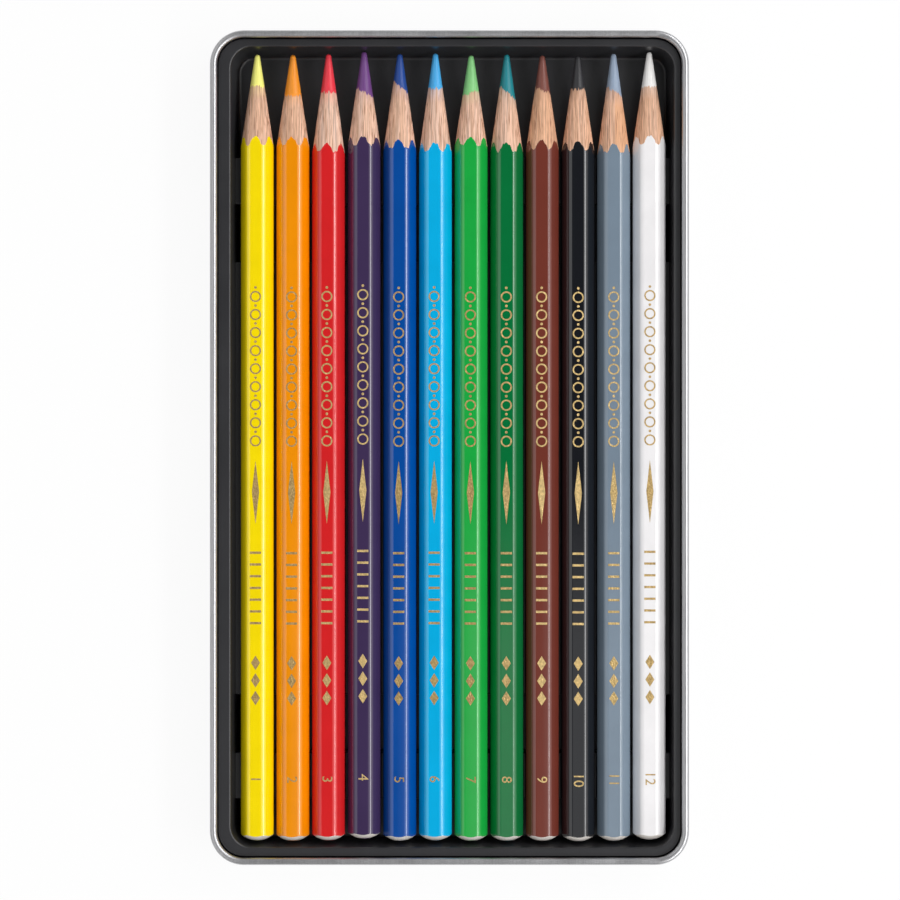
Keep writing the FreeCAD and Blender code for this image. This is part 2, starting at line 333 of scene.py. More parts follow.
def pick(piece, mode, test):
    """Selects the vertices, edges or faces that pass a test, and nothing else."""
    bpy.ops.mesh.select_mode(type=mode)
    bpy.ops.mesh.select_all(action="DESELECT")
    shape = bmesh.from_edit_mesh(piece.data)
    parts = {"VERT": shape.verts, "EDGE": shape.edges, "FACE": shape.faces}[mode]
    for part in parts:
        if test(part):
            part.select_set(True)
    shape.select_flush_mode()
    bmesh.update_edit_mesh(piece.data)


def move(x=0.0, y=0.0, z=0.0):
    bpy.ops.transform.translate(value=(x, y, z))


def extrude(x=0.0, y=0.0, z=0.0):
    bpy.ops.mesh.extrude_region_move(TRANSFORM_OT_translate={"value": (x, y, z)})


def turn_about_z(degrees, centre_x, centre_y, steps):
    """Spins what is selected from +X towards +Y."""
    bpy.ops.mesh.spin(
        steps=steps, angle=math.radians(degrees), center=(centre_x, centre_y, 0), axis=(0, 0, -1))


def round_edges(offset, segments):
    bpy.ops.mesh.bevel(offset=offset, segments=segments, profile=0.5, affect="EDGES")


def close_shell():
    """Merges doubled vertices and turns the faces outwards."""
    bpy.ops.mesh.select_mode(type="VERT")
    select_everything()
    bpy.ops.mesh.remove_doubles(threshold=CLOSE)
    bpy.ops.mesh.normals_make_consistent(inside=False)


def is_long(edge, axis):
    """Whether an edge runs along an axis: 0, 1 or 2 for X, Y or Z."""
    run = edge.verts[1].co - edge.verts[0].co
    return abs(run[axis]) > 0.99 * run.length


def apply_modifier(piece, kind, **settings):
    only(piece)
    modifier = piece.modifiers.new(kind, kind)
    for name, value in settings.items():
        setattr(modifier, name, value)
    bpy.ops.object.modifier_apply(modifier=modifier.name)


def cut_with(piece, operation, tool):
    """Cuts a piece with another solid, and removes that one."""
    apply_modifier(piece, "BOOLEAN", operation=operation, object=tool, solver="EXACT")
    bpy.data.objects.remove(tool)


def trim_scraps(piece):
    """Drops the loose scraps that a cut left, and closes its pinholes."""
    edit(piece)
    close_shell()
    bpy.ops.mesh.dissolve_degenerate(threshold=CLOSE)
    lowest = min(v.co.z for v in bmesh.from_edit_mesh(piece.data).verts)
    pick(piece, "VERT", lambda v: v.co.z == lowest)
    bpy.ops.mesh.select_linked()
    bpy.ops.mesh.select_all(action="INVERT")
    bpy.ops.mesh.delete(type="VERT")
    select_everything()
    bpy.ops.mesh.fill_holes(sides=0)
    bpy.ops.mesh.normals_make_consistent(inside=False)
    leave_edit()


def duplicate(piece, name):
    only(piece)
    bpy.ops.object.duplicate(linked=False)
    copy = bpy.context.object
    copy.name = name
    return copy


def settle():
    """Takes a piece's place, turn and scale into its mesh."""
    bpy.ops.object.transform_apply(location=True, rotation=True, scale=True)


def bring_to_place(piece, where=(0, 0, 0), turned=(0, 0, 0)):
    """Takes a piece from millimetres at the bench to its place in metres."""
    only(piece)
    piece.scale = (MM, MM, MM)
    piece.rotation_euler = turned
    piece.location = Vector(where) * MM
    settle()


def hand_over(piece, name, body, material, node=None):
    """Names, shades and paints a finished piece, and lets it ride on its body."""
    only(piece)
    piece.name = name
    piece.data.name = name
    piece.data.materials.clear()
    piece.data.materials.append(material)
    bpy.ops.object.shade_smooth_by_angle(angle=SMOOTH_UNDER)
    apply_modifier(piece, "WEIGHTED_NORMAL", keep_sharp=True)
    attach(piece, body)
    if node:
        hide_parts(node)


class Pen:
    """Draws an open section in the XZ plane: extruded vertices are straight runs, and spun ones arcs."""

    def __init__(self, name, x, z):
        clear_selection()
        bpy.ops.mesh.primitive_plane_add(size=1)
        self.piece = bpy.context.object
        self.piece.name = name
        bpy.ops.object.mode_set(mode="EDIT")
        bpy.ops.mesh.select_mode(type="VERT")
        bpy.ops.mesh.merge(type="CENTER")
        move(x, 0, z)
        self.x, self.z = x, z

    def line_to(self, x, z, steps=1):
        run = ((x - self.x) / steps, 0, (z - self.z) / steps)
        for _ in range(steps):
            bpy.ops.mesh.extrude_vertices_move(TRANSFORM_OT_translate={"value": run})
        self.x, self.z = x, z

    def arc(self, centre_x, centre_z, degrees, steps):
        """Turns about a centre, from +X towards +Z where the degrees are positive."""
        bpy.ops.mesh.spin(
            steps=steps, angle=math.radians(degrees), center=(centre_x, 0, centre_z), axis=(0, 1, 0))
        turn = math.radians(degrees)
        arm_x, arm_z = self.x - centre_x, self.z - centre_z
        self.x = centre_x + arm_x * math.cos(turn) - arm_z * math.sin(turn)
        self.z = centre_z + arm_x * math.sin(turn) + arm_z * math.cos(turn)


def carry_round(half_x, half_y, corner_r, middle_x, middle_y, corner_steps):
    """Carries the drawn section, with x = 0 on the path, round a rounded rectangle."""
    run_x, run_y = half_x - corner_r, half_y - corner_r
    select_everything()
    move(middle_x + half_x, middle_y)
    extrude(y=run_y)
    for side_x, side_y, corner_x, corner_y in (
            (-2 * run_x, 0, run_x, run_y),
            (0, -2 * run_y, -run_x, run_y),
            (2 * run_x, 0, -run_x, -run_y),
            (0, run_y, run_x, -run_y)):
        turn_about_z(90, middle_x + corner_x, middle_y + corner_y, corner_steps)
        extrude(side_x, side_y)


def fill_level(piece, z):
    """Closes the open edge that lies at a height."""
    pick(piece, "EDGE", lambda e: e.is_boundary and all(abs(v.co.z - z) < CLOSE for v in e.verts))
    bpy.ops.mesh.edge_face_add()


# Material tools

def feed(tree, socket, value):
    """Links an input to another socket, or sets its value."""
    if isinstance(value, bpy.types.NodeSocket):
        tree.links.new(value, socket)
    else:
        socket.default_value = value


def node(tree, kind, inputs=None, **settings):
    """Adds a node with its settings and inputs."""
    made = tree.nodes.new("ShaderNode" + kind)
    for name, value in settings.items():
        setattr(made, name, value)
    for name, value in (inputs or {}).items():
        feed(tree, made.inputs[name], value)
    return made


def mixed(tree, factor, first, second):
    """Colour between two colours."""
    made = node(tree, "Mix", data_type="RGBA")
    sockets = {socket.identifier: socket for socket in made.inputs}
    feed(tree, sockets["Factor_Float"], factor)
    feed(tree, sockets["A_Color"], first)
    feed(tree, sockets["B_Color"], second)
    return next(socket for socket in made.outputs if socket.identifier == "Result_Color")


def mapped(tree, value, low, high, to_low=0.0, to_high=1.0):
    """Value carried from one range to another, and kept inside it."""
    return node(tree, "MapRange", {
        "Value": value, "From Min": low, "From Max": high, "To Min": to_low, "To Max": to_high,
    }).outputs["Result"]


def spread(tree, mask, low, high):
    """A mask from 0 to 1, carried to a range."""
    return mapped(tree, mask, 0.0, 1.0, low, high)


def arithmetic(tree, operation, first, second):
    return node(tree, "Math", {0: first, 1: second}, operation=operation).outputs[0]


def times(tree, first, second):
    return arithmetic(tree, "MULTIPLY", first, second)


def grey(level):
    return (level, level, level, 1.0)


def shaded(colour_value, factor):
    """A colour made darker or lighter by a factor."""
    return (*(min(1.0, channel * factor) for channel in colour_value[:3]), 1.0)


def new_group(name, numbers, results):
    """An empty node group that takes a vector and numbers, with its input and output nodes."""
    tree = bpy.data.node_groups.new(name, "ShaderNodeTree")
    tree.interface.new_socket("Vector", in_out="INPUT", socket_type="NodeSocketVector")
    for socket in numbers:
        tree.interface.new_socket(socket, in_out="INPUT", socket_type="NodeSocketFloat")
    for socket in results:
        tree.interface.new_socket(socket, in_out="OUTPUT", socket_type="NodeSocketFloat")
    return tree, tree.nodes.new("NodeGroupInput").outputs, tree.nodes.new("NodeGroupOutput").inputs


def unevenness_group():
    """Soft cloudy variation, for gloss, gentle waves and tone."""
    name = "unevenness"
    if name in bpy.data.node_groups:
        return bpy.data.node_groups[name]
    tree, given, out = new_group(name, ("Scale", "Detail"), ("Value",))
    noise = node(tree, "TexNoise", {
        "Vector": given["Vector"], "Scale": given["Scale"], "Detail": given["Detail"], "Roughness": 0.55})
    feed(tree, out["Value"], mapped(tree, noise.outputs["Fac"], 0.3, 0.7))
    return tree


def long_grain_group():
    """Streaks along +Y: the fibres of wood, the rolling lines of sheet, the drag marks of a blade."""
    name = "long_grain"
    if name in bpy.data.node_groups:
        return bpy.data.node_groups[name]
    tree, given, out = new_group(name, ("Across", "Along", "Deep"), ("Streak", "Pore"))
    stretch = node(tree, "CombineXYZ", {"X": given["Across"], "Y": given["Along"], "Z": given["Deep"]})
    drawn = node(tree, "VectorMath", {
        0: given["Vector"], 1: stretch.outputs[0]}, operation="MULTIPLY").outputs[0]
    fibre = node(tree, "TexNoise", {"Vector": drawn, "Scale": 1.0, "Detail": 2.0, "Roughness": 0.55})
    pore = node(tree, "TexNoise", {"Vector": drawn, "Scale": 2.3, "Detail": 2.0, "Roughness": 0.5})
    feed(tree, out["Streak"], mapped(tree, fibre.outputs["Fac"], 0.36, 0.62))
    feed(tree, out["Pore"], mapped(tree, pore.outputs["Fac"], 0.56, 0.68))
    return tree


def new_material(name):
    """A material with only its shader and output, and the coordinates that its patterns read."""
    material = bpy.data.materials.new(name)
    material.use_nodes = True
    tree = material.node_tree
    tree.nodes.clear()
    shader = node(tree, "BsdfPrincipled")
    node(tree, "OutputMaterial", {"Surface": shader.outputs["BSDF"]})
    where = node(tree, "TexCoord").outputs["Object"]
    return material, tree, shader, where


def group(tree, node_tree, **inputs):
    """Places a node group with its values, and returns its outputs by name."""
    made = node(tree, "Group", inputs, node_tree=node_tree)
    return {socket.name: socket for socket in made.outputs}


def uneven(tree, where, scale, detail):
    return group(tree, unevenness_group(), Vector=where, Scale=scale, Detail=detail)["Value"]


def grained(tree, where, across, along, deep):
    return group(tree, long_grain_group(), Vector=where, Across=across, Along=along, Deep=deep)


def bump(tree, shader, height, strength, distance_mm):
    made = node(tree, "Bump", {"Height": height, "Strength": strength, "Distance": distance_mm * MM})
    feed(tree, shader.inputs["Normal"], made.outputs["Normal"])


def tinplate(sizes):
    """Bright rolled sheet: fine lines, and a rim that is slightly uneven."""
    material, tree, shader, where = new_material("tinplate")
    rolled = grained(tree, where, across=5000, along=60, deep=5000)["Streak"]
    waves = uneven(tree, where, scale=180, detail=3.0)
    feed(tree, shader.inputs["Metallic"], 1.0)
    feed(tree, shader.inputs["Base Color"], mixed(tree, rolled, shaded(sizes.steel, 0.86), sizes.steel))
    feed(tree, shader.inputs["Roughness"], spread(tree, waves, 0.3, 0.42))
    bump(tree, shader, waves, strength=0.25, distance_mm=0.05)
    return material


def formed_plastic(sizes):
    """Satin black sheet with a fine grain and faint drawn patches."""
    material, tree, shader, where = new_material("formed_plastic")
    grain = uneven(tree, where, scale=6000, detail=2.0)
    drawn = uneven(tree, where, scale=90, detail=3.0)
    tone = mixed(tree, drawn, shaded(sizes.plastic, 0.94), shaded(sizes.plastic, 1.05))
    feed(tree, shader.inputs["Base Color"], tone)
    feed(tree, shader.inputs["Roughness"], spread(tree, drawn, 0.28, 0.33))
    feed(tree, shader.inputs["Specular IOR Level"], 0.65)
    bump(tree, shader, grain, strength=0.12, distance_mm=0.02)
    return material


def lacquer(name, coat, undercoat):
    """Dipped gloss lacquer with a faint orange peel, dull patches from handling and a pale cut end."""
    material, tree, shader, where = new_material(name + "_lacquer")
    peel = uneven(tree, where, scale=900, detail=1.0)
    handled = uneven(tree, where, scale=140, detail=4.0)
    tone = mixed(tree, handled, shaded(coat, 0.95), shaded(coat, 1.03))
    feed(tree, shader.inputs["Base Color"], mixed(tree, facing_butt(tree), tone, undercoat))
    feed(tree, shader.inputs["Roughness"], spread(tree, handled, 0.02, 0.07))
    feed(tree, shader.inputs["Specular IOR Level"], 0.9)
    bump(tree, shader, peel, strength=0.03, distance_mm=0.02)
    return material


def facing_butt(tree):
    """Mask of the faces that look along -Y."""
    normal = node(tree, "TexCoord").outputs["Normal"]
    return mapped(tree, node(tree, "SeparateXYZ", {0: normal}).outputs["Y"], -0.45, -0.6)


def wood_fibres(tree, where, pencil, sizes, grain, to_right):
    """Colour of the fibres, from pale to brown, with darker pores."""
    broad = grained(tree, where, across=1100, along=30, deep=300)["Streak"]
    pale = [
        cool + (warm - cool) * pencil.wood_warmth
        for cool, warm in zip(sizes.pale_wood, sizes.brown_wood)]
    fibres = mixed(tree, grain["Streak"], shaded(pale, 0.56), shaded(pale, 1.12))
    right_slat = mapped(tree, to_right, 0.0, 0.1 * MM, 0.0, pencil.two_tone)
    browner = arithmetic(tree, "MAXIMUM", times(tree, broad, 0.35), right_slat)
    fibres = mixed(tree, browner, fibres, sizes.brown_wood)
    return mixed(tree, times(tree, grain["Pore"], 0.9), fibres, sizes.wood_grain)


def lead_on_fibres(tree, fibres, streak, apart, pencil, lead_colour):
    """Colour rubbed off the lead onto the fibres near it, and torn fibres at its edge."""
    rubbed_over, torn_back, soft_edge = 0.5 * MM, 0.1 * MM, 0.02 * MM
    lead_r = pencil.lead_r * MM
    across = node(tree, "CombineXYZ", {"X": apart["X"], "Z": apart["Z"]}).outputs[0]
    reach = node(tree, "VectorMath", {0: across}, operation="LENGTH").outputs["Value"]
    near_lead = mapped(tree, reach, lead_r, lead_r + rubbed_over, 0.4, 0.0)
    fibres = mixed(tree, times(tree, near_lead, streak), fibres, lead_colour)
    torn = arithmetic(tree, "SUBTRACT", reach, times(tree, streak, torn_back))
    return mixed(tree, mapped(tree, torn, lead_r, lead_r + soft_edge, 1.0, 0.0), fibres, lead_colour)


def cut_wood(pencil, axis, sizes, lead_colour):
    """Sharpened wood: fine fibres and pores, colour torn and rubbed off the lead, and a sanded butt."""
    material, tree, shader, where = new_material(pencil.name + "_wood")
    aside, roll = pencil.lead_aside * MM, math.radians(pencil.rolled)
    lead_axis = (axis.x + aside * math.cos(roll), 0, axis.z + aside * math.sin(roll))
    centred = node(tree, "Mapping", {"Vector": where, "Location": [-c for c in lead_axis]}).outputs[0]
    apart = node(tree, "SeparateXYZ", {0: centred}).outputs
    grain = grained(tree, where, across=3400, along=40, deep=700)
    fibres = wood_fibres(tree, where, pencil, sizes, grain, apart["X"])
    fibres = lead_on_fibres(tree, fibres, grain["Streak"], apart, pencil, lead_colour)
    feed(tree, shader.inputs["Base Color"], mixed(tree, facing_butt(tree), fibres, sizes.sanded_end))
    feed(tree, shader.inputs["Roughness"], spread(tree, grain["Streak"], 0.75, 0.6))
    bump(tree, shader, grain["Streak"], strength=0.35, distance_mm=0.06)
    return material


def waxy_lead(name, pigment):
    """Pressed pigment with the blade's fine drag marks."""
    material, tree, shader, where = new_material(name + "_lead")
    drag = grained(tree, where, across=5200, along=160, deep=1500)
    mottle = uneven(tree, where, scale=1500, detail=3.0)
    tone = mixed(tree, drag["Streak"], shaded(pigment, 0.88), shaded(pigment, 1.08))
    tone = mixed(tree, times(tree, mottle, 0.3), tone, shaded(pigment, 0.85))
    feed(tree, shader.inputs["Base Color"], tone)
    feed(tree, shader.inputs["Roughness"], spread(tree, drag["Streak"], 0.5, 0.36))
    bump(tree, shader, drag["Streak"], strength=0.2, distance_mm=0.04)
    return material


def gold_foil(pencil, sizes):
    """Hot-stamped foil, a little patchy and crinkled, in a colour that holds a painted reflection, brighter
    on some pencils than on others.
    """
    material, tree, shader, where = new_material(pencil.name + "_foil")
    patchy = uneven(tree, where, scale=1800, detail=3.0)
    crinkled = uneven(tree, where, scale=2600, detail=2.0)
    # Each pencil's foil colour holds a painted reflection, set between the darkest and the brightest foil
    # colour.
    tone = [dull + (gold - dull) * pencil.foil_shine for dull, gold in zip(sizes.bronze, sizes.foil)]
    feed(tree, shader.inputs["Base Color"], mixed(tree, patchy, shaded(tone, 0.65), shaded(tone, 1.1)))
    feed(tree, shader.inputs["Roughness"], spread(tree, patchy, 0.5, 0.3))
    feed(tree, shader.inputs["Metallic"], 0.55)
    bump(tree, shader, crinkled, strength=0.8, distance_mm=0.12)
    return material


# The pieces

def settings():
    return bpy.context.scene.pencil_set


def hexagon_bar(name, flats, edge_r, bar_length):
    """Upright hexagonal bar with rounded edges and a flat towards -Y, past both ends of its pencil."""
    clear_selection()
    bpy.ops.mesh.primitive_cylinder_add(
        vertices=6, radius=flats / 2 / COS30, depth=bar_length + 2 * OVERRUN, end_fill_type="NGON",
        location=(0, 0, bar_length / 2), rotation=(0, 0, math.radians(30)))
    settle()
    bar = bpy.context.object
    bar.name = name
    edit(bar)
    pick(bar, "EDGE", lambda e: is_long(e, 2))
    round_edges(edge_r * TAN30, segments=6)
    leave_edit()
    return bar


def pencil_box(pencil):
    """Axis, butt and tip of a pencil from its lead in the frame, in millimetres."""
    low, high = frame_box(pencil.name + "_lead")
    axis = (low + high) / 2
    return axis, low.y, high.y + pencil.tip_past


def roughen(piece, name, scale, strength):
    """Displaces the vertices of a piece's group by cloudy noise."""
    noise = bpy.data.textures.get(name) or bpy.data.textures.new(name, "CLOUDS")
    noise.noise_scale = scale
    apply_modifier(
        piece, "DISPLACE", texture=noise, strength=strength, mid_level=0.5, texture_coords="LOCAL",
        vertex_group=piece.vertex_groups.active.name)


def sharpened_blank(pencil, index, chipping=0.0):
    """What sharpening leaves of a bar: an upright cone with a round tip, over a domed butt at the origin."""
    sizes = settings().pencil
    _, butt_y, tip_y = pencil_box(pencil)
    tall = tip_y - butt_y
    tip_r, half = mm(sizes.tip_radius), math.radians(pencil.half_angle)
    corner_r = mm(sizes.flats) / 2 / COS30
    blank_r = corner_r + BLANK_PAST
    edge_reach = corner_r - mm(sizes.edge_radius) * (1 / COS30 - 1)
    dome_r = (edge_reach ** 2 + mm(sizes.end_dome) ** 2) / (2 * mm(sizes.end_dome))
    dome_edge = dome_r - math.sqrt(dome_r ** 2 - blank_r ** 2)
    pen = Pen("blank", 0, tall)
    pen.arc(0, tall - tip_r, pencil.half_angle - 90, steps=6)
    pen.line_to(blank_r, pen.z - (blank_r - pen.x) / math.tan(half), steps=20)
    pen.line_to(blank_r, dome_edge)
    pen.arc(0, dome_r, -90 - math.degrees(math.atan2(dome_edge - dome_r, blank_r)), steps=8)
    select_everything()
    turn_about_z(360, 0, 0, steps=96)
    close_shell()
    pick(pen.piece, "VERT", lambda v: v.co.z > tall / 2)
    bpy.ops.object.vertex_group_add()
    bpy.ops.object.vertex_group_assign()
    leave_edit()
    roughen(pen.piece, "blade_wobble", BLADE_WAVE, mm(sizes.cut_wobble))
    if chipping:
        roughen(pen.piece, "chipping", CHIP_SIZE, chipping)
    pen.piece.rotation_euler.z = BLANK_START + BLANK_TURN * index
    bpy.ops.object.transform_apply(location=False, rotation=True, scale=False)
    return pen.piece


def lead_rod(pencil):
    """Upright rod where the lead lies, past both ends of its pencil."""
    _, butt_y, tip_y = pencil_box(pencil)
    clear_selection()
    bpy.ops.mesh.primitive_cylinder_add(
        vertices=40, radius=pencil.lead_r, depth=tip_y - butt_y + 2 * OVERRUN,
        location=(pencil.lead_aside, 0, (tip_y - butt_y) / 2), end_fill_type="NGON")
    settle()
    return bpy.context.object


def lay_in_channel(piece, pencil, name, material, node):
    """Lays an upright piece of a pencil in its place, rolled as the pencil is, and hands it over."""
    axis, butt_y, _ = pencil_box(pencil)
    bring_to_place(
        piece, (axis.x, butt_y, axis.z), (math.radians(-90), -math.radians(pencil.rolled), 0))
    hand_over(
        piece, f"{pencil.name}_{name}", pencil.name + "_pencil", material, f"{pencil.name}_{node}")


class PENCILSET_OT_tin(bpy.types.Operator):
    """Models the drawn tin, with its flat floor, upright walls and inward curled rim"""
    bl_idname = "pencil_set.tin"
    bl_label = "Tin"

    def execute(self, context):
        sizes = settings().tin
        _, high = frame_box("tin_base")
        curl_r, base_r = mm(sizes.curl_diameter) / 2, mm(sizes.base_radius)
        pen = Pen("tin", -base_r, 0)
        pen.arc(-base_r, base_r, 90, steps=6)
        pen.line_to(0, high.z - curl_r, steps=3)
        pen.arc(-curl_r, high.z - curl_r, math.degrees(sizes.curl_turn), steps=28)
        carry_round(high.x, high.y, mm(sizes.corner_radius), 0, 0, corner_steps=14)
        close_shell()
        fill_level(pen.piece, 0)
        close_shell()
        leave_edit()
        apply_modifier(pen.piece, "SOLIDIFY", thickness=mm(sizes.sheet), offset=-1, use_even_offset=True)
        bring_to_place(pen.piece)
        hand_over(pen.piece, "tin", "tin", tinplate(sizes), "tin_base")
        return {"FINISHED"}


class PENCILSET_OT_liner(bpy.types.Operator):
    """Models the formed liner: a flange, a drafted well and three raised cradles of channels"""
    bl_idname = "pencil_set.liner"
    bl_label = "Liner"

    def execute(self, context):
        sizes = settings().liner
        low, high = frame_box("liner_tray")
        well = self.well_room(sizes, low, high)
        half = mm(sizes.middle_cradle) / 2
        outer = half + mm(sizes.finger_gap)
        far = outer + mm(sizes.end_cradle)
        middle = mm(sizes.cradle_middle)
        for start, end in ((-far, -outer), (-half, half), (outer, far)):
            cut_with(well, "DIFFERENCE", self.cradle(sizes, low, middle + start, middle + end))
        self.open_onto_flange(well, sizes, high)
        apply_modifier(well, "SOLIDIFY", thickness=mm(sizes.sheet), offset=-1, use_even_offset=True)
        bring_to_place(well)
        hand_over(well, "liner", "liner", formed_plastic(sizes), "liner_tray")
        return {"FINISHED"}

    def well_room(self, sizes, low, high):
        """The room in the well as a solid, from its floor to a little above its mouth."""
        draft, mouth_r, floor_r = sizes.well_draft, mm(sizes.mouth_radius), mm(sizes.floor_radius)
        floor_top = low.z + mm(sizes.sheet)
        bend_deg = 90 - math.degrees(draft)
        bend = math.tan(math.radians(bend_deg) / 2)
        foot_x = -(high.z - floor_top) * math.tan(draft) - floor_r * bend
        mouth_x = mouth_r * bend
        pen = Pen("liner", foot_x, floor_top)
        pen.arc(foot_x, floor_top + floor_r, bend_deg, steps=6)
        pen.line_to(
            mouth_x - mouth_r * math.cos(draft), high.z - mouth_r + mouth_r * math.sin(draft), steps=2)
        pen.arc(mouth_x, high.z - mouth_r, -bend_deg, steps=7)
        pen.line_to(mouth_x, high.z + OVERRUN)
        left, right = low.x + mm(sizes.flange_left), high.x - mm(sizes.flange_right)
        near, far = low.y + mm(sizes.flange_butts), high.y - mm(sizes.flange_points)
        carry_round(
            (right - left) / 2, (far - near) / 2, mm(sizes.well_corner_radius),
            (right + left) / 2, (far + near) / 2, corner_steps=14)
        close_shell()
        fill_level(pen.piece, floor_top)
        fill_level(pen.piece, high.z + OVERRUN)
        close_shell()
        leave_edit()
        return pen.piece

    def cradle(self, sizes, low, start_y, end_y):
        """A raised stretch of channels as a solid that runs through the walls and the floor."""
        pencil = settings().pencil
        axes = [pencil_box(p)[0].x for p in PENCILS]
        pitch = (axes[-1] - axes[0]) / (len(axes) - 1)
        floor_top = low.z + mm(sizes.sheet)
        channel = floor_top + mm(sizes.cradle_lift)
        ridge = channel + mm(sizes.ridge_height)
        half_floor = mm(pencil.flats) / 4 / COS30 + mm(sizes.channel_clearance) / COS30
        slope_run = mm(sizes.ridge_height) * TAN30
        ridge_r = (pitch / 2 - half_floor) / TAN30 - mm(sizes.ridge_height)
        bottom = floor_top - OVERRUN
        left, right = low.x, -low.x
        pen = Pen("cradle", left, bottom)
        pen.line_to(left, ridge)
        pen.line_to(axes[0] - half_floor - slope_run, ridge)
        for x in axes:
            pen.line_to(x - half_floor, channel)
            pen.line_to(x + half_floor, channel)
            if x != axes[-1]:
                pen.line_to(x + pitch / 2 - ridge_r * COS30, ridge - ridge_r / 2)
                pen.arc(x + pitch / 2, ridge - ridge_r, -120, steps=6)
        pen.line_to(axes[-1] + half_floor + slope_run, ridge)
        pen.line_to(right, ridge)
        pen.line_to(right, bottom)
        piece = pen.piece
        select_everything()
        bpy.ops.mesh.edge_face_add()
        move(y=start_y)
        extrude(y=end_y - start_y)
        close_shell()
        bend_r = mm(sizes.bend_radius)

        def is_channel_corner(e):
            return is_long(e, 1) and abs(e.verts[0].co.z - channel) < CLOSE

        pick(piece, "EDGE", is_channel_corner)
        round_edges(bend_r, segments=3)

        def is_step_edge(e):
            on_end = any(all(abs(v.co.y - y) < CLOSE for v in e.verts) for y in (start_y, end_y))
            return on_end and min(v.co.z for v in e.verts) > floor_top

        pick(piece, "EDGE", is_step_edge)
        round_edges(bend_r, segments=3)
        leave_edit()
        return piece

    def open_onto_flange(self, well, sizes, high):
        """Turns the room's skin into the liner's upper face, and joins the flange to its mouth."""
        edit(well)
        pick(well, "FACE", lambda f: min(v.co.z for v in f.verts) > high.z - CLOSE)
        bpy.ops.mesh.delete(type="FACE")
        select_everything()
        bpy.ops.mesh.flip_normals()
        bpy.ops.mesh.select_mode(type="VERT")
        bpy.ops.mesh.select_all(action="DESELECT")
        bpy.ops.mesh.primitive_plane_add(size=1, location=(0, 0, high.z))
        bpy.ops.transform.resize(value=(2 * high.x, 2 * high.y, 1), center_override=(0, 0, high.z))
        bpy.ops.mesh.bevel(
            offset=mm(sizes.corner_radius), segments=14, profile=0.5, affect="VERTICES")
        pick(well, "FACE", lambda f: all(abs(v.co.z - high.z) < CLOSE for v in f.verts))
        bpy.ops.mesh.delete(type="ONLY_FACE")

        def is_rim(e):
            return len(e.link_faces) < 2 and all(abs(v.co.z - high.z) < CLOSE for v in e.verts)

        pick(well, "EDGE", is_rim)
        bpy.ops.mesh.fill(use_beauty=True)
        select_everything()
        bpy.ops.mesh.remove_doubles(threshold=HAIR)
        bpy.ops.mesh.normals_make_consistent(inside=False)
        shape = bmesh.from_edit_mesh(well.data)
        flange = max(shape.faces, key=lambda f: f.calc_center_median().z)
        if flange.normal.z < 0:
            bpy.ops.mesh.flip_normals()
        leave_edit()


class PENCILSET_OT_coats(bpy.types.Operator):
    """Models the coats of lacquer: thin hexagonal sleeves that end in scallops at the point"""
    bl_idname = "pencil_set.coats"
    bl_label = "Coats"

    def execute(self, context):
        sizes = settings().pencil
        flats, edge_r, coat = mm(sizes.flats), mm(sizes.edge_radius), mm(sizes.lacquer)
        for index, pencil in enumerate(PENCILS):
            _, butt_y, tip_y = pencil_box(pencil)
            sleeve = hexagon_bar("coat", flats, edge_r, tip_y - butt_y)
            cut_with(sleeve, "INTERSECT", sharpened_blank(pencil, index, mm(sizes.chipping)))
            cut_with(sleeve, "DIFFERENCE", hexagon_bar(
                "casing", flats - 2 * coat, edge_r - coat, tip_y - butt_y))
            trim_scraps(sleeve)
            gloss = lacquer(pencil.name, getattr(settings().lacquers, pencil.name), sizes.sanded_end)
            lay_in_channel(sleeve, pencil, "coat", gloss, "lacquer")
        return {"FINISHED"}


class PENCILSET_OT_casings(bpy.types.Operator):
    """Models the wooden casings: two grooved slats round each lead, cut to a cone and a domed butt"""
    bl_idname = "pencil_set.casings"
    bl_label = "Casings"

    def execute(self, context):
        sizes = settings().pencil
        coat = mm(sizes.lacquer)
        for index, pencil in enumerate(PENCILS):
            axis, butt_y, tip_y = pencil_box(pencil)
            casing = hexagon_bar(
                "casing", mm(sizes.flats) - 2 * coat, mm(sizes.edge_radius) - coat, tip_y - butt_y)
            cut_with(casing, "INTERSECT", sharpened_blank(pencil, index))
            cut_with(casing, "DIFFERENCE", lead_rod(pencil))
            trim_scraps(casing)
            wood = cut_wood(pencil, axis * MM, sizes, getattr(settings().leads, pencil.name))
            for half, side in (("upper", -1), ("lower", 1)):
                slat = duplicate(casing, half)
                edit(slat)
                select_everything()
                bpy.ops.mesh.bisect(
                    plane_co=(0, 0, 0), plane_no=(0, side, 0), use_fill=True, clear_inner=True,
                    threshold=HAIR)
                leave_edit()
                lay_in_channel(slat, pencil, half + "_wood", wood, half + "_slat")
            bpy.data.objects.remove(casing)
        return {"FINISHED"}


class PENCILSET_OT_leads(bpy.types.Operator):
    """Models the coloured leads with their sharpened tips"""
    bl_idname = "pencil_set.leads"
    bl_label = "Leads"

    def execute(self, context):
        for index, pencil in enumerate(PENCILS):
            core = lead_rod(pencil)
            cut_with(core, "INTERSECT", sharpened_blank(pencil, index))
            trim_scraps(core)
            wax = waxy_lead(pencil.name, getattr(settings().leads, pencil.name))
            lay_in_channel(core, pencil, "core", wax, "lead")
        return {"FINISHED"}


